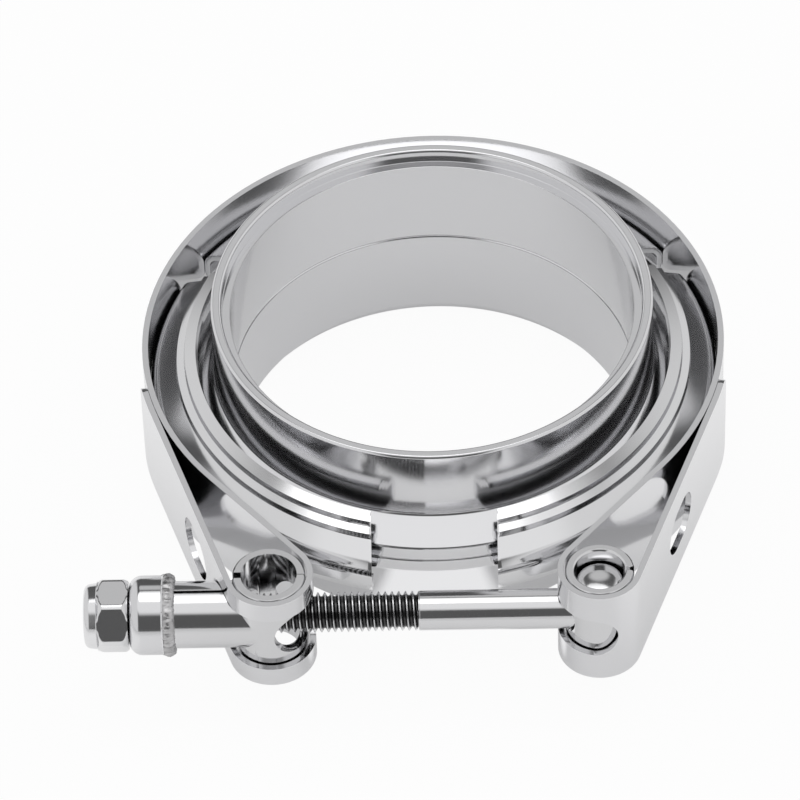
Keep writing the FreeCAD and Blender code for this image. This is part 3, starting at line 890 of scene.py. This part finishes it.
def place_camera(studio):
    """The camera on its sphere round the flanges' middle, rolled and aimed slightly off it."""
    middle = Vector((0, 0, CENTRE_HEIGHT))
    flat = math.cos(studio.elevation)
    back = Vector((math.sin(studio.azimuth) * flat, -math.cos(studio.azimuth) * flat,
                   math.sin(studio.elevation)))
    right = UP.cross(back).normalized()
    above = back.cross(right)
    roll = Matrix.Rotation(studio.roll, 3, back)
    right = roll @ right
    above = roll @ above
    aim = middle + right * studio.aim_right + above * studio.aim_up
    turn = Matrix((right, above, back)).transposed()
    camera = bpy.data.cameras.new("studio_camera")
    camera.lens = studio.lens
    camera.sensor_width = 36.0
    camera.clip_start = 0.05
    camera.clip_end = 20.0
    holder = bpy.data.objects.new("studio_camera", camera)
    holder.matrix_world = Matrix.Translation(aim + back * studio.distance) @ turn.to_4x4()
    bpy.context.scene.collection.objects.link(holder)
    bpy.context.scene.camera = holder


def build_stage():
    """Floor, room, one soft lamp and the camera."""
    studio = bpy.context.scene.clamp_studio
    floor = plane("studio_floor", 3.0, CAD_BOX[0].z)
    floor.data.materials.append(floor_finish(studio))
    studio_world(studio)
    soft_lamp("overhead_lamp", (-0.05, 0.20, 0.95), (0, 0, 0), 0.6, 0.8)
    place_camera(studio)
    bpy.context.scene.view_settings.view_transform = "Standard"


class CLAMP_OT_flanges(bpy.types.Operator):
    """Build the two turned weld flanges"""

    bl_idname = "clamp.flanges"
    bl_label = "Weld flanges"
    bl_options = {"REGISTER", "UNDO"}

    def execute(self, context):
        build_flanges()
        return {"FINISHED"}


class CLAMP_OT_retainers(bpy.types.Operator):
    """Build the three rolled retainers"""

    bl_idname = "clamp.retainers"
    bl_label = "Retainers"
    bl_options = {"REGISTER", "UNDO"}

    def execute(self, context):
        build_retainers()
        return {"FINISHED"}


class CLAMP_OT_strap(bpy.types.Operator):
    """Show the strap with its loops and tails"""

    bl_idname = "clamp.strap"
    bl_label = "Strap"
    bl_options = {"REGISTER", "UNDO"}

    def execute(self, context):
        build_strap()
        return {"FINISHED"}


class CLAMP_OT_bolt(bpy.types.Operator):
    """Build the T-bolt with its thread"""

    bl_idname = "clamp.bolt"
    bl_label = "T-bolt"
    bl_options = {"REGISTER", "UNDO"}

    def execute(self, context):
        build_bolt()
        return {"FINISHED"}


class CLAMP_OT_trunnions(bpy.types.Operator):
    """Show the split sleeve and the tee's two shells"""

    bl_idname = "clamp.trunnions"
    bl_label = "Trunnions"
    bl_options = {"REGISTER", "UNDO"}

    def execute(self, context):
        build_trunnions()
        return {"FINISHED"}


class CLAMP_OT_cup(bpy.types.Operator):
    """Build the cup on the guide tube and its weld bead"""

    bl_idname = "clamp.cup"
    bl_label = "End cup"
    bl_options = {"REGISTER", "UNDO"}

    def execute(self, context):
        build_cup()
        return {"FINISHED"}


class CLAMP_OT_nut(bpy.types.Operator):
    """Build the lock nut and show its insert"""

    bl_idname = "clamp.nut"
    bl_label = "Lock nut"
    bl_options = {"REGISTER", "UNDO"}

    def execute(self, context):
        build_nut()
        return {"FINISHED"}


class CLAMP_OT_stage(bpy.types.Operator):
    """Set up the floor, light, backdrop and camera"""

    bl_idname = "clamp.stage"
    bl_label = "Studio"
    bl_options = {"REGISTER", "UNDO"}

    def execute(self, context):
        build_stage()
        return {"FINISHED"}


OPERATORS = (
    CLAMP_OT_flanges, CLAMP_OT_retainers, CLAMP_OT_strap, CLAMP_OT_bolt,
    CLAMP_OT_trunnions, CLAMP_OT_cup, CLAMP_OT_nut, CLAMP_OT_stage,
)


class CLAMP_PT_panel(bpy.types.Panel):
    """Lists the clamp's operators and settings"""

    bl_idname = "CLAMP_PT_panel"
    bl_label = "V-band clamp"
    bl_space_type = "VIEW_3D"
    bl_region_type = "UI"
    bl_category = "Clamp"

    def draw(self, context):
        for operator in OPERATORS:
            self.layout.operator(operator.bl_idname)
        for group in (context.scene.clamp_sizes, context.scene.clamp_finish,
                      context.scene.clamp_studio):
            box = self.layout.box()
            for key in group.__annotations__:
                box.prop(group, key)


CLASSES = (ClampSizes, ClampFinish, ClampStudio, *OPERATORS, CLAMP_PT_panel)


def register():
    for one in CLASSES:
        bpy.utils.register_class(one)
    bpy.types.Scene.clamp_sizes = PointerProperty(type=ClampSizes)
    bpy.types.Scene.clamp_finish = PointerProperty(type=ClampFinish)
    bpy.types.Scene.clamp_studio = PointerProperty(type=ClampStudio)


def unregister():
    del bpy.types.Scene.clamp_studio
    del bpy.types.Scene.clamp_finish
    del bpy.types.Scene.clamp_sizes
    for one in reversed(CLASSES):
        bpy.utils.unregister_class(one)


def main():
    register()
    bpy.ops.clamp.flanges()
    bpy.ops.clamp.retainers()
    bpy.ops.clamp.strap()
    bpy.ops.clamp.bolt()
    bpy.ops.clamp.trunnions()
    bpy.ops.clamp.cup()
    bpy.ops.clamp.nut()
    bpy.ops.clamp.stage()


if __name__ == "__main__":
    main()
